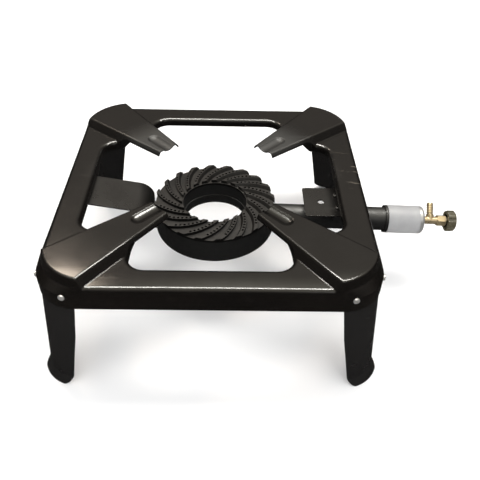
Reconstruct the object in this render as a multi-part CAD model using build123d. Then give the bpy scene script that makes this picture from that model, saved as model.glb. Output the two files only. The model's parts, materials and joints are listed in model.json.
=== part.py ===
from build123d import *
from math import acos, atan, atan2, cos, degrees, hypot, radians, sin, sqrt, tan
import os

os.makedirs("parts", exist_ok=True)

# ---------------------------------------------------------------- sizes, in millimetres
# The frame pressing: a square sheet frame with a flared skirt and four pan arms.
frame_width = 400.0
frame_corner_radius = 65.0
rail_height = 160.0
rail_width = 34.0
frame_sheet = 1.5
skirt_depth = 30.0
skirt_flare = 3.0
shoulder_drop = 9.5
skirt_corner_radius = 50.5
arm_draw_in = 2.4
arm_corner_radius = 66.0
rim_depth = 11.5
rail_edge_radius = 6.0
opening_corner_radius = 22.0
arm_rise = 11.0
arm_tip_gap = 14.0
arm_tip_width = 30.0
arm_half_angle = 7.3
arm_wall_run = 8.0
arm_lip_run = 3.5
arm_lip_height = 4.2
arm_edge_radius = 3.0
arm_step = 0.05
rim_fade_setback = 66.8
rim_fade_length = 14.0
groove_width = 18.0
groove_depth = 3.5
groove_length = 42.0

# The four legs: bent sheet corner pieces standing inside the skirt.
leg_sheet = 1.5
leg_top_drop = 9.6
leg_splay = 0.08
leg_lip_height = 9.0
leg_lip_flare = 5.5
leg_top_half_width = 34.0
leg_waist_height = 80.0
leg_waist_half_width = 31.5
leg_foot_half_width = 25.0
leg_foot_corner_radius = 6.0
leg_screw_angle = 31.5
leg_screw_drop = 12.5

# Fasteners.
screw_play = 0.2
thread_play = 0.03
sheet_screw_radius = 2.0
sheet_screw_head_radius = 3.8
sheet_screw_head_height = 2.4
sheet_nut_flats = 7.0
sheet_nut_thickness = 3.2
nut_standoff = 0.2
screw_tip_gap = 0.5
screw_overrun = 1.5

# The ring burner.
ring_outer_radius = 82.0
ring_bore_radius = 44.0
ring_top_drop = 28.3
blade_height = 4.3
crown_plate_thickness = 3.4
ring_wall_draft = 1.5
ring_depth = 41.0
ring_outer_wall = 4.0
ring_inner_wall = 4.0
ring_floor = 4.5
cast_radius = 3.0
crown_lip_depth = 2.5
crown_lip_width = 1.0
crown_lip_play = 0.15
bore_ledge_depth = 1.0
bore_ledge_drop = 18.0
blade_count = 20
blade_turn = 2.0
crown_screw_rows = 1.5
blade_arc_radius = 73.2
blade_arc_offset = 52.8
blade_arc_start = 75.0
blade_arc_span = 80.0
blade_width = 7.4
blade_crest_width = 4.8
blade_sink = 0.8
blade_foot_height = 0.6
blade_overhang = 1.5
blade_setback = 1.4
port_count = 7
port_radius = 1.6
port_setback = 2.4
port_wall_gap = 0.2
crown_screw_radius = 2.5
crown_screw_head_radius = 4.2
crown_screw_head_height = 2.8
crown_post_radius = 4.5
crown_boss_height = 4.0
crown_hole_cap = 1.4

# The mixing tube, its droop and the parts in line with it.
tube_axis_lift = 16.3
tube_droop = 1.5
tube_radius = 16.5
tube_bore_radius = 12.5
tube_nose = 8.0
collar_standoff = 37.5
collar_length = 3.2
collar_radius = 19.5
spigot_length = 41.0
spigot_end_wall = 5.0
air_window_standoff = 6.0
air_window_length = 22.0
air_window_width = 11.5
sleeve_gap = 0.4
sleeve_length = 51.3
sleeve_radius = 19.8
sleeve_play = 0.05
sleeve_end_wall = 4.0
sleeve_hole_radius = 6.3
sleeve_edge_radius = 4.0

# The valve.
nipple_radius = 5.9
nipple_depth = 10.0
shoulder_gap = 0.5
shoulder_length = 2.5
shoulder_radius = 7.0
body_radius = 5.5
neck_length = 24.9
gas_way_radius = 1.6
chamber_radius = 3.5
chamber_setback = 1.0
lock_nut_flats = 17.0
lock_nut_thickness = 5.0
injector_length = 10.0
injector_nose = 3.0
injector_flats = 10.0
injector_shank_radius = 3.2
injector_shank_length = 4.0
injector_orifice_radius = 0.6
tail_standoff = 9.8
tail_turn = 45.0
tail_top = 25.2
tail_tip_length = 1.0
tail_tip_taper = 0.5
tail_foot_gap = 0.4
tail_boss_radius = 5.4
tail_boss_top = 7.8
tail_flange_thickness = 1.2
tail_shank_radius = 3.0
tail_bore_radius = 1.9
tail_root_radius = 4.1
tail_rib_radius = 4.8
tail_rib_count = 4
tail_rib_pitch = 3.4
tail_rib_rise = 0.3
tail_rib_gap = 0.2
gland_overlap = 5.8
gland_length = 12.3
gland_flats = 14.0
gland_wall = 2.3
gland_hole_play = 0.1
needle_gap = 0.3
needle_radius = 1.5
needle_tip_radius = 0.3
needle_cone_length = 1.7
needle_guide_standoff = 3.0
needle_guide_length = 2.8
needle_guide_play = 0.08
needle_socket_depth = 2.4
spindle_thread_play = 0.1
spindle_nose_radius = 1.6
spindle_radius = 2.5
spindle_grip = 7.6
spindle_end_play = 0.4
valve_travel = 1.5
valve_travel_play = 0.5

# The knob.
knob_gap = 1.0
knob_length = 11.6
knob_radius = 15.0
knob_lobes = 8
knob_recess_radius = 4.2
knob_recess_offset = 2.2
knob_edge = 2.0
knob_hub_radius = 5.5
knob_back_depth = 6.0
knob_back_radius = 9.5
knob_screw_radius = 1.5
knob_screw_head_radius = 3.0
knob_screw_head_height = 1.8
knob_screw_length = 6.0
knob_screw_depth = 0.4
knob_screw_hole_depth = 0.6

# The two supports that carry the burner.
support_sheet = 2.0
support_width = 63.0
support_bend_radius = 4.0
strap_slope = 0.173
strap_level_length = 27.0
strap_skirt_drop = 12.9
strap_flange_drop = 28.0
strap_drop_gap = 4.0
strap_bend_radius = 24.0
strap_tongue_reach = 12.25
strap_tongue_width = 26.0
strap_taper_height = 28.0
bracket_top_drop = 30.0
bracket_length = 79.0
bracket_flange_drop = 13.5
bracket_corner_radius = 3.0
bracket_hole_radius = 4.6
bracket_hole_setback = 55.0
support_screw_spread = 20.0
support_screw_drop = 21.0
ring_bolt_radius = 3.0
ring_bolt_reach = 11.0
ring_bolt_flats = 10.0
ring_bolt_head = 4.0
ring_boss_radius = 7.0
ring_boss_cap = 4.0
washer_thickness = 1.2
washer_radius = 6.2
lug_setback = 33.0
lug_screw_spread = 14.0
lug_length = 16.0
lug_width = 42.0
lug_depth = 16.0
lug_screw_radius = 2.5
lug_screw_reach = 9.0
lug_screw_head_radius = 4.4
lug_screw_head_height = 2.8

# How far cutting shapes run past what they cut, and how closely an edge is told by its place.
cut_over = 1.0
edge_margin = 0.01

# ---------------------------------------------------------------- sizes that follow
frame_half = frame_width / 2
skirt_bottom = rail_height - skirt_depth
skirt_half = frame_half + skirt_flare
skirt_slant = sqrt(1 + (skirt_flare / shoulder_drop) ** 2)
skirt_inside = skirt_half - frame_sheet * skirt_slant
rim_half = frame_half - rail_width
rim_fade_end = sqrt(2) * rim_half - rim_fade_setback
rim_fade_start = rim_fade_end - rim_fade_length
arm_reach = ring_outer_radius + arm_tip_gap
arm_top = rail_height + arm_rise
arm_slope = arm_wall_run / arm_rise
arm_slant = sqrt(1 + arm_slope ** 2)
arm_spread = tan(radians(arm_half_angle))
groove_radius = (groove_width ** 2 / 4 + groove_depth ** 2) / (2 * groove_depth)
groove_axis_height = arm_top - groove_depth + groove_radius
groove_stop = arm_reach + groove_length - groove_width / 2
blade_top = rail_height - ring_top_drop
plate_top = blade_top - blade_height
plate_bottom = plate_top - crown_plate_thickness
ring_bottom = blade_top - ring_depth
ring_bottom_radius = ring_outer_radius + ring_wall_draft
chamber_floor = ring_bottom + ring_floor
chamber_inner_radius = ring_bore_radius + ring_inner_wall
chamber_outer_radius = ring_outer_radius - ring_outer_wall
chamber_middle_radius = (chamber_inner_radius + chamber_outer_radius) / 2
blade_end = ring_outer_radius + blade_overhang
blade_start = ring_bore_radius + blade_setback
inner_lip = chamber_inner_radius + crown_lip_play
outer_lip = chamber_outer_radius - crown_lip_play
tube_height = ring_bottom + tube_axis_lift
collar_start = skirt_half + collar_standoff
collar_end = collar_start + collar_length
spigot_end = collar_end + spigot_length
air_window_start = collar_end + air_window_standoff
air_window_end = air_window_start + air_window_length
sleeve_start = collar_end + sleeve_gap
sleeve_end = sleeve_start + sleeve_length
sleeve_bore_radius = tube_radius + sleeve_play
nipple_start = spigot_end - nipple_depth
injector_start = nipple_start - injector_length
injector_end = nipple_start + injector_shank_length
shoulder_start = sleeve_end + shoulder_gap
shoulder_end = shoulder_start + shoulder_length
neck_end = shoulder_end + neck_length
chamber_start = shoulder_end + chamber_setback
tail_position = shoulder_end + tail_standoff
gland_start = neck_end - gland_overlap
gland_end = gland_start + gland_length
packing_end = gland_end - gland_wall
needle_guide_start = tail_position + needle_guide_standoff
needle_guide_end = needle_guide_start + needle_guide_length
spindle_thread_end = neck_end - valve_travel - valve_travel_play
knob_start = gland_end + knob_gap
knob_end = knob_start + knob_length
spindle_end = knob_start + spindle_grip
bracket_top = rail_height - bracket_top_drop
bracket_bottom = bracket_top - support_sheet
bracket_reach = skirt_half - bracket_length
bracket_hole_position = skirt_half - bracket_hole_setback
lug_position = skirt_half - lug_setback
strap_level_end = skirt_half - strap_level_length
strap_tongue_end = chamber_middle_radius - strap_tongue_reach


# ---------------------------------------------------------------- shared shapes
def skirt_plan(height, inset):
    """Half width and corner radius of the frame's outline at a height, drawn in by a sheet."""
    stages = ((-arm_rise, frame_half - arm_draw_in, arm_corner_radius),
              (0, frame_half, frame_corner_radius),
              (shoulder_drop, skirt_half, skirt_corner_radius),
              (skirt_depth, skirt_half, skirt_corner_radius))
    drop = rail_height - height
    for upper, lower in zip(stages, stages[1:]):
        if drop <= lower[0]:
            break
    share = (drop - upper[0]) / (lower[0] - upper[0])
    half = upper[1] + share * (lower[1] - upper[1])
    radius = upper[2] + share * (lower[2] - upper[2])
    return half - inset * skirt_slant, radius - inset * skirt_slant


def rounded_square(height, half, radius):
    """A flat rounded square at a height."""
    return Pos(0, 0, height) * RectangleRounded(2 * half, 2 * half, radius)


def skirt_block(low, high, inset):
    """The solid inside the frame's outline between two heights."""
    breaks = [rail_height - shoulder_drop, rail_height]
    heights = [low] + [height for height in breaks if low < height < high] + [high]
    return loft([rounded_square(height, *skirt_plan(height, inset)) for height in heights], ruled=True)


def turned(points):
    """A solid turned about its own axis from an outline of (along, radius) points."""
    outline = [(radius, along) for along, radius in points]
    face = make_face(Plane.XZ * Polyline(*outline, close=True))
    return revolve(face, Axis.Z, 360)


def rod(start, end, radius):
    """A round bar along its own axis."""
    return Pos(0, 0, start) * extrude(Circle(radius), end - start)


def hexagon(start, end, flats):
    """A hexagonal bar with its corners eased at both ends."""
    bar = extrude(Pos(0, 0, start) * RegularPolygon(flats / 2, 6, major_radius=False), end - start)
    corner = flats / sqrt(3)
    ease = corner - flats / 2
    easing = turned([(start, 0), (start, flats / 2), (start + ease, corner), (end - ease, corner),
                     (end, flats / 2), (end, 0)])
    return bar & easing


def nut(flats, thickness, hole_radius):
    """A hexagonal nut standing on the local origin."""
    return hexagon(0, thickness, flats) - rod(-cut_over, thickness + cut_over, hole_radius)


def pan_screw(radius, length, head_radius, head_height):
    """A cross-recessed screw: domed head above the local origin, shank below it."""
    dome = head_height * 0.45
    point = radius * 0.25
    body = turned([(-length, 0), (-length, radius - point), (point - length, radius), (0, radius),
                   (0, head_radius), (head_height - dome, head_radius),
                   (head_height - dome * 0.35, head_radius * 0.82), (head_height, head_radius * 0.5),
                   (head_height, 0)])
    slot = Pos(0, 0, head_height) * Box(head_radius * 1.15, head_radius * 0.24, head_height * 0.9)
    return body - slot - Rot(0, 0, 90) * slot


def hex_bolt(radius, length, flats, head_height):
    """A hexagon-headed bolt: head above the local origin, shank below it."""
    return hexagon(0, head_height, flats) + rod(-length, cut_over, radius)


def joined(items):
    """Several placed copies held as one piece."""
    return Part() + items


# ---------------------------------------------------------------- the frame pressing
def arm_half_width(distance):
    """Half the width of an arm's flat top at a distance from the burner axis."""
    return arm_tip_width / 2 + (distance - arm_reach) * arm_spread


def opening_cut(inset, tip, low):
    """A prism that fills the frame's opening, left clear of the four arms."""
    half = rim_half + inset
    far = frame_width
    lip = arm_lip_run - inset / cos(radians(arm_half_angle))
    face = Rectangle(2 * half, 2 * half)
    near_side = arm_half_width(tip) + lip
    far_side = arm_half_width(far) + lip
    arm_plan = make_face(Polyline((tip, -near_side), (far, -far_side), (far, far_side),
                                  (tip, near_side), close=True))
    for quarter in range(4):
        face -= Rot(0, 0, 45 + 90 * quarter) * arm_plan
    opening = face.faces()[0]
    corners = [v for v in opening.vertices() if max(abs(v.X), abs(v.Y)) > half - edge_margin]
    opening = fillet(corners, opening_corner_radius + inset)
    return extrude(Pos(0, 0, low - cut_over) * opening, arm_top - low + 2 * cut_over)


def arm_groove(inset):
    """The shallow round-ended groove along the top of the arm at the back right."""
    groove = Rot(0, 90, 0) * rod(arm_reach - groove_width, groove_stop, groove_radius + inset)
    groove += Pos(groove_stop, 0, 0) * Sphere(groove_radius + inset)
    return Rot(0, 0, 45) * Pos(0, 0, groove_axis_height) * groove


def arm_form(inset, low, tip):
    """The solid under one pan arm, cut just inside the frame's outline and its opening."""
    peak = arm_top - inset
    blank_start = tip - arm_tip_width
    draw_in = inset * (arm_slant - arm_slope)
    near = arm_half_width(blank_start) - draw_in
    far = arm_half_width(frame_width) - draw_in
    plan = make_face(Polyline((blank_start, -near), (frame_width, -far), (frame_width, far),
                              (blank_start, near), close=True))
    lean = degrees(atan(arm_slope))
    arm = extrude(Pos(0, 0, peak) * plan, amount=peak - low, dir=(0, 0, -1), taper=-lean)
    arm = Rot(0, 0, 45) * arm
    arm &= skirt_block(low, peak, inset + arm_step)
    arm -= opening_cut(inset + arm_step, tip, low)
    long_edges = [e for e in arm.edges() if e.bounding_box().min.Z > peak - edge_margin]
    long_edges = [e for e in long_edges if hypot(e.center().X, e.center().Y) > tip + arm_step]
    return fillet(long_edges, arm_edge_radius - inset) - arm_groove(inset)


def pressed_form(inset, low, tip):
    """The solid under the pressing's outer face, or under its inner face when inset."""
    top = rail_height - inset
    form = skirt_block(low, top, inset) - opening_cut(inset, tip, low)
    top_edges = [e for e in form.edges() if e.bounding_box().min.Z > top - edge_margin]
    form = fillet(top_edges, rail_edge_radius - inset)
    arm = arm_form(inset, low, tip)
    for quarter in range(4):
        form += Rot(0, 0, 90 * quarter) * arm
    return form


frame = pressed_form(0, skirt_bottom, arm_reach)
frame -= pressed_form(frame_sheet, skirt_bottom - cut_over, arm_reach - cut_over)
rim_trim_width = 2 * (rim_half + 2 * frame_sheet)
rim_trim_height = skirt_depth - rim_depth + cut_over
rim_trim = Box(rim_trim_width, rim_trim_width, rim_trim_height, align=(Align.CENTER, Align.CENTER, Align.MAX))
frame -= Pos(0, 0, rail_height - rim_depth) * rim_trim
fade_near = arm_reach - cut_over
fade_low = skirt_bottom - cut_over
fade_outline = Polyline((fade_near, fade_low), (fade_near, rail_height + arm_lip_height),
                        (rim_fade_start, rail_height + arm_lip_height),
                        (rim_fade_end, rail_height - rim_depth), (rim_fade_end, fade_low), close=True)
fade_reach = arm_half_width(rim_fade_end) + opening_corner_radius / 2
fade = extrude(Plane.XZ * make_face(fade_outline), fade_reach, both=True)
for quarter in range(4):
    frame -= Rot(0, 0, 45 + 90 * quarter) * fade


def corner_seat(angle, drop):
    """A plane on the skirt's rounded corner, facing out."""
    half, radius = skirt_plan(rail_height - drop, 0)
    turn = radians(angle)
    spot = (half - radius + radius * cos(turn), half - radius + radius * sin(turn), rail_height - drop)
    return Plane(origin=spot, z_dir=(cos(turn), sin(turn), 0))


def side_seat(side, across, drop):
    """A plane on the skirt's left (-1) or right (1) side, facing out."""
    return Plane(origin=(side * skirt_half, across, rail_height - drop), z_dir=(side, 0, 0))


def at_leg_screws(piece):
    """Copies of a piece at the eight leg screws."""
    seats = [corner_seat(45 + way * leg_screw_angle, leg_screw_drop) for way in (-1, 1)]
    pair = [seat * piece for seat in seats]
    return [Rot(0, 0, 90 * quarter) * item for quarter in range(4) for item in pair]


def at_side_screws(piece, side):
    """Copies of a piece at the two screws of one side's support."""
    spots = (-support_screw_spread, support_screw_spread)
    return [side_seat(side, spot, support_screw_drop) * piece for spot in spots]


leg_stack = frame_sheet + leg_sheet
side_stack = frame_sheet + support_sheet
sheet_hole = rod(-3 * side_stack, 3 * side_stack, sheet_screw_radius + screw_play)
sheet_nut = nut(sheet_nut_flats, sheet_nut_thickness, sheet_screw_radius + thread_play)


def sheet_screw(stack):
    """A screw long enough for a stack of sheets and its nut."""
    length = stack + nut_standoff + sheet_nut_thickness + screw_overrun
    return pan_screw(sheet_screw_radius, length, sheet_screw_head_radius, sheet_screw_head_height)


def seated_nut(stack):
    """The nut drawn up behind a stack of sheets."""
    return Pos(0, 0, -(stack + nut_standoff + sheet_nut_thickness)) * sheet_nut


pieces = {}
frame -= at_leg_screws(sheet_hole)
frame -= at_side_screws(sheet_hole, -1)
frame -= at_side_screws(sheet_hole, 1)
pieces["frame_pressing"] = frame
pieces["leg_screws"] = joined(at_leg_screws(sheet_screw(leg_stack)))
pieces["leg_nuts"] = joined(at_leg_screws(seated_nut(leg_stack)))


# ---------------------------------------------------------------- the legs
def leg_form(inset):
    """The splayed block whose corner gives a leg its shape."""
    brow = skirt_inside - inset
    ankle = brow + leg_splay * (skirt_bottom - leg_lip_height)
    radius = skirt_corner_radius - frame_sheet * skirt_slant - inset
    stages = ((0, ankle + leg_lip_flare), (leg_lip_height, ankle), (skirt_bottom, brow), (leg_top, brow))
    return loft([rounded_square(height, half, radius) for height, half in stages], ruled=True)


leg_top = rail_height - leg_top_drop
leg_outline = Polyline((-leg_top_half_width, leg_top), (leg_top_half_width, leg_top),
                       (leg_waist_half_width, leg_waist_height), (leg_foot_half_width, 0),
                       (-leg_foot_half_width, 0), (-leg_waist_half_width, leg_waist_height), close=True)
leg_face = make_face(leg_outline)
foot_corners = [v for v in leg_face.vertices() if v.Y < 1]
leg_face = fillet(foot_corners, leg_foot_corner_radius)
leg_blank = extrude(Plane.YZ.offset(frame_half - frame_corner_radius) * leg_face, frame_half)
leg = (leg_form(0) - leg_form(leg_sheet)) & (Rot(0, 0, 45) * leg_blank)
leg -= at_leg_screws(sheet_hole)
leg_names = ("leg_back_right", "leg_back_left", "leg_front_left", "leg_front_right")
for quarter, name in enumerate(leg_names):
    pieces[name] = Rot(0, 0, 90 * quarter) * leg


# ---------------------------------------------------------------- the burner casting
tube_line = Plane(origin=(0, 0, tube_height),
                  x_dir=(sin(radians(tube_droop)), 0, cos(radians(tube_droop))),
                  z_dir=(cos(radians(tube_droop)), 0, -sin(radians(tube_droop))))


def upright(spot, start, end, radius):
    """A vertical round bar between two heights."""
    return Pos(spot[0], spot[1], 0) * rod(start, end, radius)


def around(radius, angles):
    """Points on a circle about the burner axis."""
    return [(radius * cos(radians(angle)), radius * sin(radians(angle))) for angle in angles]


def air_windows(reach):
    """Two openings cut outward from the tube's axis, to the back and downward."""
    length = air_window_end - air_window_start
    middle_along = (air_window_start + air_window_end) / 2
    window = Box(air_window_width, reach, length, align=(Align.CENTER, Align.MAX, Align.CENTER))
    window = Pos(0, 0, middle_along) * window
    return window + Rot(0, 0, -90) * window


trough = turned([(ring_bottom, ring_bore_radius), (ring_bottom, ring_bottom_radius),
                 (plate_bottom, ring_outer_radius), (plate_bottom, ring_bore_radius)])
under_edges = [e for e in trough.edges() if e.bounding_box().max.Z < ring_bottom + edge_margin]
trough = fillet(under_edges, cast_radius)
trough -= upright((0, 0), plate_bottom - bore_ledge_drop, plate_bottom + cut_over,
                  ring_bore_radius + bore_ledge_depth)
tube_start = chamber_middle_radius
tube = tube_line * turned([(tube_start, 0), (tube_start, tube_radius - tube_nose),
                           (tube_start + tube_nose, tube_radius), (collar_start, tube_radius),
                           (collar_start, collar_radius), (collar_end, collar_radius),
                           (collar_end, tube_radius), (spigot_end, tube_radius), (spigot_end, 0)])
lug = Box(lug_length, lug_width, lug_depth, align=(Align.CENTER, Align.CENTER, Align.MAX))
lug = fillet(lug.edges().filter_by(Axis.Z), cast_radius)
lug = Pos(lug_position, 0, bracket_bottom) * lug
casting = trough + tube + lug
casting -= turned([(chamber_floor, chamber_inner_radius), (chamber_floor, chamber_outer_radius),
                   (plate_bottom + cut_over, chamber_outer_radius),
                   (plate_bottom + cut_over, chamber_inner_radius)])
bore_start = chamber_outer_radius - ring_outer_wall
nipple_hole_start = spigot_end - 2 * spigot_end_wall
casting -= tube_line * rod(bore_start, spigot_end - spigot_end_wall, tube_bore_radius)
casting -= tube_line * rod(nipple_hole_start, spigot_end + cut_over, nipple_radius + thread_play)
casting -= tube_line * air_windows(tube_radius + cut_over)
port_line = blade_arc_radius - port_setback


def port_place(radius):
    """The bend along a blade's row of ports, and the angle about the burner, at a radius."""
    square = radius ** 2 - blade_arc_offset ** 2 - port_line ** 2
    bend = acos(square / (2 * blade_arc_offset * port_line))
    return degrees(bend), degrees(atan2(port_line * sin(bend), blade_arc_offset + port_line * cos(bend)))


crown_screw_turn = blade_turn + port_place(chamber_middle_radius)[1]
crown_screw_turn -= crown_screw_rows * 360 / blade_count
crown_screw_spots = around(chamber_middle_radius, [crown_screw_turn + 90 * quarter for quarter in range(4)])
post_top = plate_bottom - crown_boss_height
for spot in crown_screw_spots:
    casting += upright(spot, chamber_floor - cut_over, post_top, crown_post_radius)
    casting -= upright(spot, ring_bottom - cut_over, post_top + cut_over, crown_screw_radius + screw_play)
ring_bolt_spot = (-chamber_middle_radius, 0)
ring_bolt_top = ring_bottom + ring_bolt_reach
casting += upright(ring_bolt_spot, chamber_floor - cut_over, ring_bolt_top + ring_boss_cap, ring_boss_radius)
casting -= upright(ring_bolt_spot, ring_bottom - cut_over, ring_bolt_top + screw_tip_gap,
                   ring_bolt_radius + thread_play)
lug_spots = [(lug_position, way * lug_screw_spread) for way in (-1, 1)]
for spot in lug_spots:
    casting -= upright(spot, bracket_bottom - lug_screw_reach - screw_tip_gap, bracket_bottom + cut_over,
                       lug_screw_radius + thread_play)
pieces["burner_casting"] = casting


# ---------------------------------------------------------------- the crown
crown = turned([(plate_bottom, ring_bore_radius), (plate_bottom, ring_outer_radius),
                (plate_top, ring_outer_radius), (plate_top, ring_bore_radius)])
lip_low = plate_bottom - crown_lip_depth
for lip_start in (inner_lip, outer_lip - crown_lip_width):
    lip_end = lip_start + crown_lip_width
    crown += turned([(lip_low, lip_start), (lip_low, lip_end), (plate_bottom + cut_over, lip_end),
                     (plate_bottom + cut_over, lip_start)])
blade_root = plate_top - blade_sink
blade_section = Polyline((blade_arc_radius, blade_root), (blade_arc_radius, blade_top),
                         (blade_arc_radius - blade_crest_width, blade_top),
                         (blade_arc_radius - blade_width, plate_top + blade_foot_height),
                         (blade_arc_radius - blade_width, blade_root), close=True)
blade = revolve(Plane.XZ * make_face(blade_section), Axis.Z, blade_arc_span)
blade = Pos(blade_arc_offset, 0, 0) * Rot(0, 0, blade_arc_start) * blade
blade &= turned([(blade_root, blade_start), (blade_root, blade_end),
                 (blade_top + cut_over, blade_end), (blade_top + cut_over, blade_start)])
port_first = port_place(outer_lip - crown_lip_width - port_wall_gap - port_radius)[0]
port_last = port_place(inner_lip + crown_lip_width + port_wall_gap + port_radius)[0]
port_step = (port_last - port_first) / (port_count - 1)
port_spots = around(port_line, [port_first + port_step * place for place in range(port_count)])
blade_turns = [blade_turn + 360 / blade_count * place for place in range(blade_count)]
crown += [Rot(0, 0, turn) * blade for turn in blade_turns]
for spot in crown_screw_spots:
    crown += upright(spot, post_top, plate_bottom + cut_over, crown_post_radius)
ports = []
for turn in blade_turns:
    for spot in port_spots:
        port = Rot(0, 0, turn) * Pos(blade_arc_offset + spot[0], spot[1], 0)
        place = port.position
        gap = min(hypot(place.X - post[0], place.Y - post[1]) for post in crown_screw_spots)
        if gap > crown_post_radius + port_radius + port_wall_gap:
            drill = rod(plate_bottom - cut_over, blade_top + cut_over, port_radius)
            ports.append(Pos(place.X, place.Y, 0) * drill)
crown -= ports
crown_hole_top = plate_top - crown_hole_cap
for spot in crown_screw_spots:
    crown -= upright(spot, post_top - cut_over, crown_hole_top, crown_screw_radius + thread_play)
pieces["burner_crown"] = crown
crown_screw_length = crown_hole_top - screw_tip_gap - ring_bottom
crown_screw = pan_screw(crown_screw_radius, crown_screw_length, crown_screw_head_radius,
                        crown_screw_head_height)
crown_screw = Rot(180, 0, 0) * crown_screw
pieces["crown_screws"] = joined([Pos(x, y, ring_bottom) * crown_screw for x, y in crown_screw_spots])


# ---------------------------------------------------------------- strap and bracket
def bent_strip(points, radii, width):
    """A strip of sheet folded along a line, with its thickness to the line's right."""
    line = FilletPolyline(*points, radius=radii)
    face = make_face(offset(line, support_sheet, side=Side.RIGHT))
    return extrude(Plane.XZ * face, width / 2, both=True)


strap_low = rail_height - strap_flange_drop
strap_high = rail_height - strap_skirt_drop
strap_edge = ring_bottom_radius + strap_drop_gap
strap_shoulder = strap_high - strap_slope * (strap_level_end - strap_edge)
strap = bent_strip([(-skirt_inside, strap_low), (-skirt_inside, strap_high), (-strap_level_end, strap_high),
                    (-strap_edge, strap_shoulder), (-strap_edge, ring_bottom),
                    (-strap_tongue_end, ring_bottom)],
                   [support_bend_radius, support_bend_radius, strap_bend_radius, support_bend_radius],
                   support_width)
taper_top = strap_shoulder - strap_bend_radius / 2
taper_foot = taper_top - strap_taper_height
half_width = support_width / 2
half_tongue = strap_tongue_width / 2
strap_face = make_face(Polyline((-half_width, rail_height), (half_width, rail_height),
                                (half_width, taper_top), (half_tongue, taper_foot), (half_tongue, 0),
                                (-half_tongue, 0), (-half_tongue, taper_foot),
                                (-half_width, taper_top), close=True))
strap &= extrude(Plane.YZ * strap_face, skirt_half, both=True)
strap -= at_side_screws(sheet_hole, -1)
strap_under = ring_bottom - support_sheet
bolt_hole_radius = ring_bolt_radius + screw_play
strap -= upright(ring_bolt_spot, strap_under - cut_over, ring_bottom + cut_over, bolt_hole_radius)
pieces["left_strap"] = strap
washer = rod(0, washer_thickness, washer_radius)
washer -= rod(-cut_over, washer_thickness + cut_over, bolt_hole_radius)
washer_seat = Pos(*ring_bolt_spot, strap_under - washer_thickness)
pieces["ring_washer"] = washer_seat * washer
ring_bolt_length = washer_thickness + support_sheet + ring_bolt_reach
ring_bolt = Rot(180, 0, 0) * hex_bolt(ring_bolt_radius, ring_bolt_length, ring_bolt_flats, ring_bolt_head)
pieces["ring_bolt"] = washer_seat * ring_bolt
pieces["left_strap_screws"] = joined(at_side_screws(sheet_screw(side_stack), -1))
pieces["left_strap_nuts"] = joined(at_side_screws(seated_nut(side_stack), -1))

bracket_high = rail_height - bracket_flange_drop
bracket = bent_strip([(skirt_inside, bracket_high), (skirt_inside, bracket_bottom),
                      (bracket_reach, bracket_bottom)], [support_bend_radius], support_width)
bracket_ends = [e for e in bracket.edges().filter_by(Axis.Z) if e.center().X < bracket_reach + cut_over]
bracket = fillet(bracket_ends, bracket_corner_radius)
bracket -= at_side_screws(sheet_hole, 1)
bracket_holes = [((bracket_hole_position, 0), bracket_hole_radius)]
bracket_holes += [(spot, lug_screw_radius + screw_play) for spot in lug_spots]
for spot, radius in bracket_holes:
    bracket -= upright(spot, bracket_bottom - cut_over, bracket_top + cut_over, radius)
pieces["right_bracket"] = bracket
lug_screw = pan_screw(lug_screw_radius, support_sheet + lug_screw_reach, lug_screw_head_radius,
                      lug_screw_head_height)
pieces["tube_screws"] = joined([Pos(x, y, bracket_top) * lug_screw for x, y in lug_spots])
pieces["right_bracket_screws"] = joined(at_side_screws(sheet_screw(side_stack), 1))
pieces["right_bracket_nuts"] = joined(at_side_screws(seated_nut(side_stack), 1))


# ---------------------------------------------------------------- sleeve, valve and knob
sleeve = turned([(sleeve_start, sleeve_bore_radius), (sleeve_start, sleeve_radius),
                 (sleeve_end, sleeve_radius), (sleeve_end, sleeve_hole_radius),
                 (sleeve_end - sleeve_end_wall, sleeve_hole_radius),
                 (sleeve_end - sleeve_end_wall, sleeve_bore_radius)])
sleeve_edges = [e for e in sleeve.edges() if e.bounding_box().size.X > sleeve_radius + sleeve_bore_radius]
sleeve_front = [e for e in sleeve_edges if e.bounding_box().min.Z > sleeve_end - edge_margin]
sleeve = fillet(sleeve_front, sleeve_edge_radius)
sleeve -= air_windows(sleeve_radius + cut_over)
pieces["air_sleeve"] = tube_line * sleeve

lock_nut = Pos(0, 0, spigot_end) * nut(lock_nut_flats, lock_nut_thickness, nipple_radius + thread_play)
pieces["lock_nut"] = tube_line * lock_nut

injector = hexagon(injector_start, nipple_start, injector_flats)
injector += rod(nipple_start - cut_over, injector_end, injector_shank_radius)
injector_way_start = injector_start + injector_nose
injector -= rod(injector_way_start, injector_end + cut_over, gas_way_radius)
injector -= rod(injector_start - cut_over, injector_way_start + cut_over, injector_orifice_radius)
pieces["injector"] = tube_line * injector

sideways = Pos(0, 0, tail_position) * Rot(0, 0, -tail_turn) * Rot(0, 90, 0)
body = turned([(nipple_start, 0), (nipple_start, nipple_radius), (shoulder_start, nipple_radius),
               (shoulder_start, shoulder_radius), (shoulder_end, shoulder_radius),
               (shoulder_end, body_radius), (neck_end, body_radius), (neck_end, 0)])
body += sideways * rod(0, tail_boss_top, tail_boss_radius)
body -= rod(nipple_start - cut_over, injector_end + cut_over, injector_shank_radius + thread_play)
body -= rod(injector_end, chamber_start + cut_over, gas_way_radius)
body -= rod(chamber_start, neck_end + cut_over, chamber_radius)
body -= sideways * rod(0, tail_boss_top + cut_over, tail_shank_radius + thread_play)
pieces["valve_body"] = tube_line * body

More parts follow.
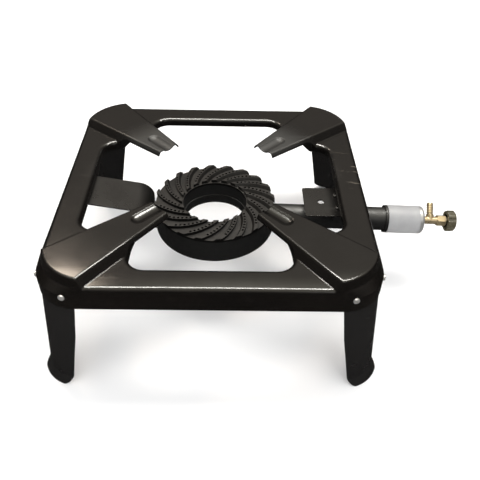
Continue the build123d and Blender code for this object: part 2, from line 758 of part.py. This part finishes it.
tail_foot = chamber_radius + tail_foot_gap
tail_flange_top = tail_boss_top + tail_flange_thickness
rib_start = tail_top - tail_tip_length - tail_rib_count * tail_rib_pitch
tail_outline = [(tail_foot, tail_bore_radius), (tail_foot, tail_shank_radius),
                (tail_boss_top, tail_shank_radius), (tail_boss_top, tail_rib_radius),
                (tail_flange_top, tail_rib_radius), (tail_flange_top, tail_root_radius)]
for rib in range(tail_rib_count):
    rib_foot = rib_start + rib * tail_rib_pitch
    tail_outline.append((rib_foot, tail_root_radius))
    tail_outline.append((rib_foot + tail_rib_rise, tail_rib_radius))
    tail_outline.append((rib_foot + tail_rib_pitch - tail_rib_gap, tail_root_radius))
tail_outline.append((tail_top, tail_root_radius - tail_tip_taper))
tail_outline.append((tail_top, tail_bore_radius))
pieces["hose_tail"] = tube_line * (sideways * turned(tail_outline))

gland = hexagon(gland_start, gland_end, gland_flats)
gland -= rod(gland_start - cut_over, packing_end, body_radius + thread_play)
gland -= rod(packing_end - cut_over, gland_end + cut_over, spindle_radius + gland_hole_play)
pieces["gland_nut"] = tube_line * gland
packing = rod(neck_end, packing_end, body_radius)
packing -= rod(neck_end - cut_over, packing_end + cut_over, spindle_radius + gland_hole_play / 2)
pieces["gland_packing"] = tube_line * packing

needle_tip = chamber_start + needle_gap
needle_guide_radius = chamber_radius - needle_guide_play
needle = turned([(needle_tip, 0), (needle_tip, needle_tip_radius),
                 (needle_tip + needle_cone_length, needle_radius), (needle_guide_start, needle_radius),
                 (needle_guide_start, needle_guide_radius), (needle_guide_end, needle_guide_radius),
                 (needle_guide_end, 0)])
socket_floor = needle_guide_end - needle_socket_depth
needle -= rod(socket_floor, needle_guide_end + cut_over, spindle_nose_radius + needle_guide_play)
pieces["needle"] = tube_line * needle

nose_start = socket_floor + spindle_end_play
thread_start = needle_guide_end + spindle_end_play
thread_radius = chamber_radius - spindle_thread_play
spindle = turned([(nose_start, 0), (nose_start, spindle_nose_radius), (thread_start, spindle_nose_radius),
                  (thread_start, thread_radius), (spindle_thread_end, thread_radius),
                  (spindle_thread_end, spindle_radius), (spindle_end, spindle_radius), (spindle_end, 0)])
screw_seat = knob_end - knob_screw_head_height - knob_screw_depth
screw_hole_start = screw_seat - knob_screw_length - knob_screw_hole_depth
spindle -= rod(screw_hole_start, spindle_end + cut_over, knob_screw_radius + thread_play)
pieces["spindle"] = tube_line * spindle

knob_profile = turned([(knob_start, 0), (knob_start, knob_radius - knob_edge / 2),
                       (knob_start + knob_edge / 2, knob_radius), (knob_end - knob_edge, knob_radius),
                       (knob_end, knob_radius - knob_edge), (knob_end, 0)])
recess = rod(knob_start - cut_over, knob_end + cut_over, knob_recess_radius)
recess_reach = knob_radius + knob_recess_offset
knob = knob_profile
knob -= [Rot(0, 0, 360 / knob_lobes * lobe) * Pos(recess_reach, 0, 0) * recess for lobe in range(knob_lobes)]
knob -= rod(knob_start - cut_over, knob_start + knob_back_depth, knob_back_radius)
knob += rod(knob_start, knob_start + knob_back_depth + cut_over, knob_hub_radius)
knob -= rod(knob_start - cut_over, spindle_end, spindle_radius + thread_play)
knob -= rod(spindle_end - cut_over, knob_end + cut_over, knob_screw_radius + screw_play)
knob -= rod(screw_seat, knob_end + cut_over, knob_screw_head_radius + screw_play)
pieces["knob"] = tube_line * knob
knob_screw = pan_screw(knob_screw_radius, knob_screw_length, knob_screw_head_radius, knob_screw_head_height)
pieces["knob_screw"] = tube_line * (Pos(0, 0, screw_seat) * knob_screw)

# ---------------------------------------------------------------- written out, centred left to right
boxes = [piece.bounding_box() for piece in pieces.values()]
left_end = min(box.min.X for box in boxes)
right_end = max(box.max.X for box in boxes)
middle = (left_end + right_end) / 2
for name, piece in pieces.items():
    export_step(Pos(-middle, 0, 0) * piece, "parts/" + name + ".step")
print("pieces", len(pieces), "middle", round(middle, 4))
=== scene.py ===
import json
import math

import bpy
from mathutils import Matrix, Vector


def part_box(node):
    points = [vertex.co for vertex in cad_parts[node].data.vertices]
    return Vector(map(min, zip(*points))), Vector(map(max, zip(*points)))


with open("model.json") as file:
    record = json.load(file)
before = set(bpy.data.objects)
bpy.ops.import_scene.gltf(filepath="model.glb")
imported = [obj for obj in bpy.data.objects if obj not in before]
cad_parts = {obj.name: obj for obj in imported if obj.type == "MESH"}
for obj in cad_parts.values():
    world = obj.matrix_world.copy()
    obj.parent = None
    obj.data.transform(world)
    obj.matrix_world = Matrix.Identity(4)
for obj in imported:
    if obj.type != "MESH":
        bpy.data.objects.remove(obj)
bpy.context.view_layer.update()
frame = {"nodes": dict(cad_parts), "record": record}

nodes = frame["nodes"]

# ---------------------------------------------------------------- camera
# A pinhole camera 0.64 m in front of the middle and 0.63 m above the floor, looking 42 degrees down.
EYE = Vector((-0.04104, -0.63849, 0.62732))
PITCH = math.radians(41.81)
YAW = math.radians(1.17)
ROLL = math.radians(-1.51)
LENS_MM = 43.46
SENSOR_MM = 36
NEAREST = 0.01


def camera_axes():
    """The camera's right, down and forward directions."""
    forward = Vector((math.sin(YAW) * math.cos(PITCH), math.cos(YAW) * math.cos(PITCH), -math.sin(PITCH)))
    level = Vector((math.cos(YAW), -math.sin(YAW), 0))
    under = forward.cross(level)
    right = math.cos(ROLL) * level + math.sin(ROLL) * under
    down = math.cos(ROLL) * under - math.sin(ROLL) * level
    return right, down, forward


def add_camera():
    right, down, forward = camera_axes()
    data = bpy.data.cameras.new("photo_camera")
    data.lens = LENS_MM
    data.sensor_width = SENSOR_MM
    data.clip_start = NEAREST
    camera = bpy.data.objects.new("photo_camera", data)
    bpy.context.scene.collection.objects.link(camera)
    turn = Matrix((right, -down, -forward)).transposed().to_4x4()
    camera.matrix_world = Matrix.Translation(EYE) @ turn
    bpy.context.scene.camera = camera


# ---------------------------------------------------------------- material helpers
class Recipe:
    """A node material put together step by step."""

    def __init__(self, name):
        self.material = bpy.data.materials.new(name)
        self.material.use_nodes = True
        self.tree = self.material.node_tree
        self.tree.nodes.clear()
        self.output = self.tree.nodes.new("ShaderNodeOutputMaterial")
        self.place = self.tree.nodes.new("ShaderNodeTexCoord")

    def node(self, kind, **values):
        made = self.tree.nodes.new(kind)
        for key, value in values.items():
            setattr(made, key, value)
        return made

    def link(self, source, target):
        self.tree.links.new(source, target)

    def put(self, value, socket):
        """Sets a number or colour on a socket, or links another node's output to it."""
        if isinstance(value, tuple):
            socket.default_value = (*value, 1.0)
        elif isinstance(value, (int, float)):
            socket.default_value = value
        else:
            self.link(value, socket)

    def noise(self, scale, detail=3.0, rough=0.55, stretch=None):
        """A noise pattern in the piece's own space."""
        made = self.node("ShaderNodeTexNoise")
        made.inputs["Scale"].default_value = scale
        made.inputs["Detail"].default_value = detail
        made.inputs["Roughness"].default_value = rough
        where = self.place.outputs["Object"]
        if stretch:
            moved = self.node("ShaderNodeMapping")
            moved.inputs["Scale"].default_value = stretch
            self.link(where, moved.inputs["Vector"])
            where = moved.outputs["Vector"]
        self.link(where, made.inputs["Vector"])
        return made.outputs["Fac"]

    def span(self, value, low, high, out_low, out_high):
        """Maps low to high onto out_low to out_high, and holds beyond the ends."""
        made = self.node("ShaderNodeMapRange")
        made.inputs["From Min"].default_value = low
        made.inputs["From Max"].default_value = high
        made.inputs["To Min"].default_value = out_low
        made.inputs["To Max"].default_value = out_high
        self.link(value, made.inputs["Value"])
        return made.outputs["Result"]

    def maths(self, operation, first, second=0.0):
        made = self.node("ShaderNodeMath", operation=operation)
        self.put(first, made.inputs[0])
        self.put(second, made.inputs[1])
        return made.outputs["Value"]

    def blend(self, share, first, second):
        """A colour between two others."""
        made = self.node("ShaderNodeMix", data_type="RGBA")
        self.link(share, made.inputs["Factor"])
        for key, value in (("A", first), ("B", second)):
            self.put(value, [s for s in made.inputs if s.name == key and s.type == "RGBA"][0])
        return [s for s in made.outputs if s.type == "RGBA"][0]

    def coordinates(self):
        """The place on the piece from left to right and from front to back."""
        made = self.node("ShaderNodeSeparateXYZ")
        self.link(self.place.outputs["Object"], made.inputs["Vector"])
        return made.outputs["X"], made.outputs["Y"]

    def upward(self):
        """How far the surface faces up, from 0 on walls to 1 on level tops."""
        shape = self.node("ShaderNodeNewGeometry")
        made = self.node("ShaderNodeSeparateXYZ")
        self.link(shape.outputs["Normal"], made.inputs["Vector"])
        return made.outputs["Z"]

    def edges(self, radius):
        """The surface's direction with its corners eased."""
        made = self.node("ShaderNodeBevel", samples=6)
        made.inputs["Radius"].default_value = radius
        return made.outputs["Normal"]

    def bump(self, height, distance, strength, normal):
        made = self.node("ShaderNodeBump")
        made.inputs["Distance"].default_value = distance
        made.inputs["Strength"].default_value = strength
        self.link(height, made.inputs["Height"])
        self.link(normal, made.inputs["Normal"])
        return made.outputs["Normal"]

    def finish(self, colour, roughness, metallic, normal, ior=1.5):
        surface = self.node("ShaderNodeBsdfPrincipled")
        surface.inputs["IOR"].default_value = ior
        self.put(colour, surface.inputs["Base Color"])
        self.put(roughness, surface.inputs["Roughness"])
        self.put(metallic, surface.inputs["Metallic"])
        self.link(normal, surface.inputs["Normal"])
        self.link(surface.outputs["BSDF"], self.output.inputs["Surface"])
        return self.material


# ---------------------------------------------------------------- the finishes
# Lengths are in metres. The haze fades with distance from the burner's middle.
HAZE_FULL = 0.14
HAZE_NONE = 0.185
HAZE_ENTRY = 0.03
HAZE_DULLING = 0.38
HAZE_COLOUR = (0.0016, 0.0014, 0.0012)

# The front rail's bow starts 28 mm in from the front and ends 2 mm in from it.
BOW_START = 0.028
BOW_END = 0.002
BOW_LEFT = 0.07
BOW_RIGHT = 0.20
BOW_LEFT_SHARE = 0.35
BOW_DEPTH = 0.0018

# The scrapes lie in a strip of the right rail's top.
SCRAPE_INNER = 0.046
SCRAPE_OUTER = 0.036
SCRAPE_STRETCH = (0.5, 3.4, 1.0)
SCRAPE_COLOUR = (0.16, 0.14, 0.11)

DUST_COLOUR = (0.10, 0.088, 0.075)
RUB_STRETCH = (0.12, 1.0, 1.0)
RUB_DULLING = 0.10

# The pale band round the sleeve stops short of its ends and is left off its back.
BAND_START = 0.0004
BAND_END = 0.0065
BAND_EDGE = 0.0006
BAND_FRONT = 0.0085
BAND_BACK = 0.0092
BAND_DULLING = 0.18
BAND_DEPTH = 0.00015
BRUSH_STRETCH = (6.0, 0.6, 0.6)


def heat_haze(made):
    """Duller enamel on the tips of the two back arms, over the flame."""
    x, y = made.coordinates()
    low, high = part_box("burner_crown")
    sideways = made.maths("SUBTRACT", x, (low[0] + high[0]) / 2)
    reach = made.maths("SQRT", made.maths("ADD", made.maths("MULTIPLY", sideways, sideways),
                                          made.maths("MULTIPLY", y, y)))
    near = made.span(reach, HAZE_FULL, HAZE_NONE, 1.0, 0.0)
    return made.maths("MULTIPLY", near, made.span(y, 0.0, HAZE_ENTRY, 0.0, 1.0))


def front_bow(made):
    """The slight fall of the front rail's top towards its outer edge."""
    x, y = made.coordinates()
    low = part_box("frame_pressing")[0]
    fall = made.span(y, low[1] + BOW_START, low[1] + BOW_END, 0.0, 1.0)
    fall = made.maths("MULTIPLY", fall, fall)
    share = made.span(x, low[0] + BOW_LEFT, low[0] + BOW_RIGHT, BOW_LEFT_SHARE, 1.0)
    return made.maths("SUBTRACT", 1.0, made.maths("MULTIPLY", fall, share))


def right_rail_scrapes(made):
    """A few light scrapes on the top of the right rail."""
    x, y = made.coordinates()
    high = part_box("frame_pressing")[1]
    lines = made.span(made.noise(60.0, 3.0, 0.5, SCRAPE_STRETCH), 0.63, 0.70, 0.0, 0.55)
    across = made.span(x, high[0] - SCRAPE_INNER, high[0] - SCRAPE_OUTER, 0.0, 1.0)
    begin = made.span(y, -0.015, 0.005, 0.0, 1.0)
    end = made.span(y, 0.065, 0.085, 1.0, 0.0)
    along = made.maths("MULTIPLY", begin, end)
    return made.maths("MULTIPLY", lines, made.maths("MULTIPLY", across, along))


def enamel(name, dark, warm, low, high, edge, wear, peel, frame_marks=False):
    """Glossy vitreous enamel with a slight orange peel, cloudy gloss, faint dust and hairline rubs."""
    made = Recipe(name)
    cloud = made.span(made.noise(7.0, 4.0), 0.35, 0.7, 0.0, 1.0)
    dust = made.span(made.noise(60.0, 6.0, 0.7), 0.56, 0.8, 0.0, 1.0)
    rubs = made.span(made.noise(90.0, 3.0, 0.5, RUB_STRETCH), 0.66, 0.74, 0.0, 1.0)
    colour = made.blend(cloud, dark, warm)
    colour = made.blend(made.maths("MULTIPLY", dust, wear), colour, DUST_COLOUR)
    gloss = made.span(made.noise(22.0, 5.0, 0.6), 0.3, 0.75, low, high)
    gloss = made.maths("ADD", gloss, made.maths("MULTIPLY", rubs, RUB_DULLING))
    normal = made.edges(edge)
    if frame_marks:
        haze = heat_haze(made)
        gloss = made.maths("ADD", gloss, made.maths("MULTIPLY", haze, HAZE_DULLING))
        colour = made.blend(haze, colour, HAZE_COLOUR)
        colour = made.blend(right_rail_scrapes(made), colour, SCRAPE_COLOUR)
        normal = made.bump(front_bow(made), BOW_DEPTH, 1.0, normal)
    normal = made.bump(made.noise(420.0, 2.0), 0.0003, 0.03 * peel, normal)
    normal = made.bump(made.noise(26.0, 2.0), 0.0010, 0.05 * peel, normal)
    return made.finish(colour, gloss, 0.0, normal)


def cast_iron(name, shaded_wall_colour, dark, light, low, high, edge, grain, ior=1.5):
    """Sand-cast iron: mottled, matt and grainy, with painted shade that makes walls darker than tops."""
    made = Recipe(name)
    mottle = made.span(made.noise(60.0, 6.0, 0.65), 0.3, 0.72, 0.0, 1.0)
    soot = made.span(made.noise(16.0, 4.0), 0.45, 0.75, 0.0, 0.6)
    colour = made.blend(mottle, dark, light)
    colour = made.blend(soot, colour, dark)
    # Painted shade: faces that turn sideways take the darker wall colour, and level tops keep the mottled
    # colour.
    colour = made.blend(made.span(made.upward(), 0.35, 0.85, 0.0, 1.0), shaded_wall_colour, colour)
    gloss = made.span(made.noise(90.0, 4.0), 0.3, 0.7, low, high)
    normal = made.edges(edge)
    normal = made.bump(made.noise(900.0, 4.0, 0.6), 0.0004, grain, normal)
    normal = made.bump(made.noise(150.0, 3.0), 0.0008, grain * 0.6, normal)
    return made.finish(colour, gloss, 0.0, normal, ior)


def metal(name, light, dull, low, high, metallic):
    """Bare or plated metal with dulled patches and a fine grain."""
    made = Recipe(name)
    patch = made.span(made.noise(45.0, 5.0, 0.6), 0.42, 0.72, 0.0, 0.8)
    colour = made.blend(patch, light, dull)
    gloss = made.span(made.noise(120.0, 4.0, 0.6), 0.3, 0.7, low, high)
    normal = made.bump(made.noise(500.0, 3.0, 0.6), 0.0002, 0.15, made.edges(0.0003))
    return made.finish(colour, gloss, metallic, normal)


def sleeve_metal(name, bare, dull, pale, shaded, low, high):
    """Satin aluminium with a plain pale band wrapped round its middle."""
    made = Recipe(name)
    x, y = made.coordinates()
    box_low, box_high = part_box("air_sleeve")
    start = box_low[0] + BAND_START
    end = box_high[0] - BAND_END
    across = made.maths("MULTIPLY", made.span(x, start, start + BAND_EDGE, 0.0, 1.0),
                        made.span(x, end - BAND_EDGE, end, 1.0, 0.0))
    band = made.maths("MULTIPLY", across, made.span(y, BAND_FRONT, BAND_BACK, 1.0, 0.0))
    patch = made.span(made.noise(40.0, 5.0, 0.6), 0.4, 0.75, 0.0, 0.7)
    cloud = made.span(made.noise(70.0, 4.0), 0.3, 0.7, 0.0, 1.0)
    colour = made.blend(band, made.blend(patch, bare, dull), made.blend(cloud, pale, shaded))
    gloss = made.span(made.noise(160.0, 4.0), 0.3, 0.7, low, high)
    gloss = made.maths("ADD", gloss, made.maths("MULTIPLY", band, BAND_DULLING))
    metallic = made.span(band, 0.0, 1.0, 0.6, 0.0)
    normal = made.bump(made.noise(420.0, 3.0, 0.6, BRUSH_STRETCH), 0.0002, 0.18, made.edges(0.0005))
    normal = made.bump(band, BAND_DEPTH, 0.6, normal)
    return made.finish(colour, gloss, metallic, normal)


def moulding(name, dark, light, low, high):
    """Moulded plastic, slightly cloudy, with a fine grain."""
    made = Recipe(name)
    cloud = made.span(made.noise(80.0, 4.0), 0.3, 0.7, 0.0, 1.0)
    colour = made.blend(cloud, dark, light)
    gloss = made.span(made.noise(140.0, 4.0), 0.3, 0.7, low, high)
    normal = made.bump(made.noise(1100.0, 2.0), 0.0002, 0.2, made.edges(0.0006))
    return made.finish(colour, gloss, 0.0, normal)


# Each finish is made once, under the name of the record's material slot that wears it.
# low and high are the ends of its roughness, and edge is how far its corners are eased.
RECIPES = {
    "black_enamel": (enamel, dict(
        dark=(0.0034, 0.0029, 0.0026), warm=(0.0056, 0.0046, 0.0038),
        low=0.13, high=0.19, edge=0.0022, wear=0.04, peel=1.0, frame_marks=True)),
    "black_enamel_legs": (enamel, dict(
        dark=(0.0098, 0.0094, 0.0092), warm=(0.0125, 0.0118, 0.0114),
        low=0.22, high=0.28, edge=0.0008, wear=0.0, peel=0.0)),
    "black_sheet": (enamel, dict(
        dark=(0.007, 0.0062, 0.0055), warm=(0.010, 0.009, 0.0078),
        low=0.24, high=0.34, edge=0.0004, wear=0.04, peel=0.4)),
    # The cast irons' wall colours are painted shade on faces that turn sideways.
    "burner_iron": (cast_iron, dict(
        shaded_wall_colour=(0.009, 0.0088, 0.0085), dark=(0.007, 0.007, 0.007), light=(0.014, 0.0135, 0.013),
        low=0.42, high=0.58, edge=0.0008, grain=0.25)),
    "crown_iron": (cast_iron, dict(
        shaded_wall_colour=(0.003, 0.0026, 0.0022), dark=(0.0065, 0.0054, 0.0046), light=(0.019, 0.0160, 0.0138),
        low=0.40, high=0.56, edge=0.0005, grain=0.35, ior=1.33)),
    "plated_steel": (metal, dict(
        light=(0.72, 0.71, 0.69), dull=(0.46, 0.45, 0.43), low=0.28, high=0.42, metallic=0.75)),
    "sleeve_aluminium": (sleeve_metal, dict(
        bare=(0.46, 0.46, 0.455), dull=(0.30, 0.30, 0.295),
        pale=(0.36, 0.36, 0.362), shaded=(0.31, 0.31, 0.316), low=0.28, high=0.42)),
    "valve_brass": (metal, dict(
        light=(0.45, 0.36, 0.22), dull=(0.30, 0.23, 0.14), low=0.24, high=0.38, metallic=0.7)),
    "dulled_steel": (metal, dict(
        light=(0.020, 0.018, 0.016), dull=(0.010, 0.009, 0.008), low=0.32, high=0.45, metallic=0.2)),
    "packing": (moulding, dict(
        dark=(0.70, 0.69, 0.66), light=(0.78, 0.77, 0.74), low=0.4, high=0.55)),
    "knob_plastic": (moulding, dict(
        dark=(0.056, 0.049, 0.030), light=(0.090, 0.080, 0.050), low=0.18, high=0.30)),
}
# These screws are as dark as the enamel around them in the photograph.
DULLED = ("tube_screws", "right_bracket_screws", "left_strap_screws")


def dress_pieces():
    finishes = {name: make(name, **values) for name, (make, values) in RECIPES.items()}
    slots = {item["node"]: item["material_slot"] for item in frame["record"]["subparts"]}
    for name, piece in nodes.items():
        piece.data.materials.clear()
        piece.data.materials.append(finishes["dulled_steel" if name in DULLED else slots[name]])


# ---------------------------------------------------------------- floor, surroundings and lamps
FLOOR_HALF = 6
FLOOR_DROP = 0.0004
EVEN_LIGHT = 1.22
# The room's brightness seen in reflections, from straight down (0) to straight up (1).
ROOM_STOPS = ((0.30, (0.03, 0.028, 0.026)), (0.62, (0.50, 0.45, 0.39)),
              (0.74, (0.64, 0.59, 0.50)), (0.86, (1.6, 1.52, 1.22)))
ROOM_BOTTOM = (0.004, 0.004, 0.004)
ROOM_TOP = (1.2, 1.15, 1.0)
WHITE = (1.0, 1.0, 1.0)
RAILS = (0.0, -0.1, 0.15)


def floor_finish():
    """A pale floor that keeps shadows; it looks dark in the enamel's reflections."""
    made = Recipe("floor_finish")
    path = made.node("ShaderNodeLightPath")
    shade = made.blend(made.noise(3.0, 3.0), (0.93, 0.93, 0.93), (0.945, 0.945, 0.945))
    colour = made.blend(path.outputs["Is Glossy Ray"], shade, (0.02, 0.019, 0.018))
    surface = made.node("ShaderNodeBsdfDiffuse")
    made.link(colour, surface.inputs["Color"])
    made.link(surface.outputs["BSDF"], made.output.inputs["Surface"])
    return made.material


def add_floor():
    half = FLOOR_HALF
    mesh = bpy.data.meshes.new("floor")
    mesh.from_pydata([(-half, -half, 0), (half, -half, 0), (half, half, 0), (-half, half, 0)],
                     [], [(0, 1, 2, 3)])
    floor = bpy.data.objects.new("floor", mesh)
    floor.location.z = -FLOOR_DROP
    bpy.context.scene.collection.objects.link(floor)
    floor.data.materials.append(floor_finish())


def add_background(tree, strength):
    """A white background of the given strength."""
    made = tree.nodes.new("ShaderNodeBackground")
    made.inputs["Color"].default_value = (*WHITE, 1.0)
    made.inputs["Strength"].default_value = strength
    return made


def mix_by_ray(tree, ray, otherwise, seen):
    """One shader for the rays of this kind, and another for all the others."""
    mix = tree.nodes.new("ShaderNodeMixShader")
    tree.links.new(ray, mix.inputs["Fac"])
    tree.links.new(otherwise.outputs[0], mix.inputs[1])
    tree.links.new(seen.outputs[0], mix.inputs[2])
    return mix


def add_world():
    """White to the camera, even light for the floor, and a dim warm room in the reflections."""
    world = bpy.data.worlds.new("studio")
    bpy.context.scene.world = world
    world.use_nodes = True
    tree = world.node_tree
    tree.nodes.clear()
    output = tree.nodes.new("ShaderNodeOutputWorld")
    path = tree.nodes.new("ShaderNodeLightPath")
    place = tree.nodes.new("ShaderNodeTexCoord")
    height = tree.nodes.new("ShaderNodeSeparateXYZ")
    tree.links.new(place.outputs["Generated"], height.inputs["Vector"])
    ramp = tree.nodes.new("ShaderNodeValToRGB")
    stops = ramp.color_ramp.elements
    stops[0].position = 0.0
    stops[0].color = (*ROOM_BOTTOM, 1.0)
    stops[1].position = 1.0
    stops[1].color = (*ROOM_TOP, 1.0)
    for position, shade in ROOM_STOPS:
        stop = stops.new(position)
        stop.color = (*shade, 1.0)
    tree.links.new(height.outputs["Z"], ramp.inputs["Fac"])
    room = add_background(tree, 1.0)
    tree.links.new(ramp.outputs["Color"], room.inputs["Color"])
    lit = mix_by_ray(tree, path.outputs["Is Glossy Ray"], add_background(tree, EVEN_LIGHT), room)
    shown = mix_by_ray(tree, path.outputs["Is Camera Ray"], lit, add_background(tree, 1.0))
    tree.links.new(shown.outputs[0], output.inputs["Surface"])


def add_lamp(name, place, aim, width, depth, power, colour):
    data = bpy.data.lights.new(name, "AREA")
    data.shape = "RECTANGLE"
    data.size = width
    data.size_y = depth
    data.energy = power
    data.color = colour
    lamp = bpy.data.objects.new(name, data)
    bpy.context.scene.collection.objects.link(lamp)
    lamp.location = place
    lamp.rotation_euler = (Vector(aim) - Vector(place)).to_track_quat("-Z", "Y").to_euler()
    return lamp


def add_lamps():
    add_lamp("overhead_box", place=(0.0, 0.42, 1.95), aim=RAILS, width=1.3, depth=0.42, power=15.0,
             colour=(1.0, 0.98, 0.95))
    strip = add_lamp("edge_strip", place=(0.0, 0.30, 2.0), aim=RAILS, width=1.7, depth=0.14, power=75.0,
                     colour=(1.0, 0.97, 0.90))
    strip.visible_diffuse = False  # seen in reflections only
    add_lamp("back_left_box", place=(-0.98, 1.33, 2.02), aim=(-0.2, -0.15, 0.17), width=0.36, depth=0.36,
             power=9.5, colour=(1.0, 0.84, 0.68))
    add_lamp("front_fill", place=(0.8, -1.7, 1.5), aim=(0.0, 0.0, 0.1), width=0.8, depth=0.6, power=4.0,
             colour=WHITE)


dress_pieces()
add_camera()
add_floor()
add_world()
add_lamps()
bpy.context.scene.view_settings.view_transform = "Standard"
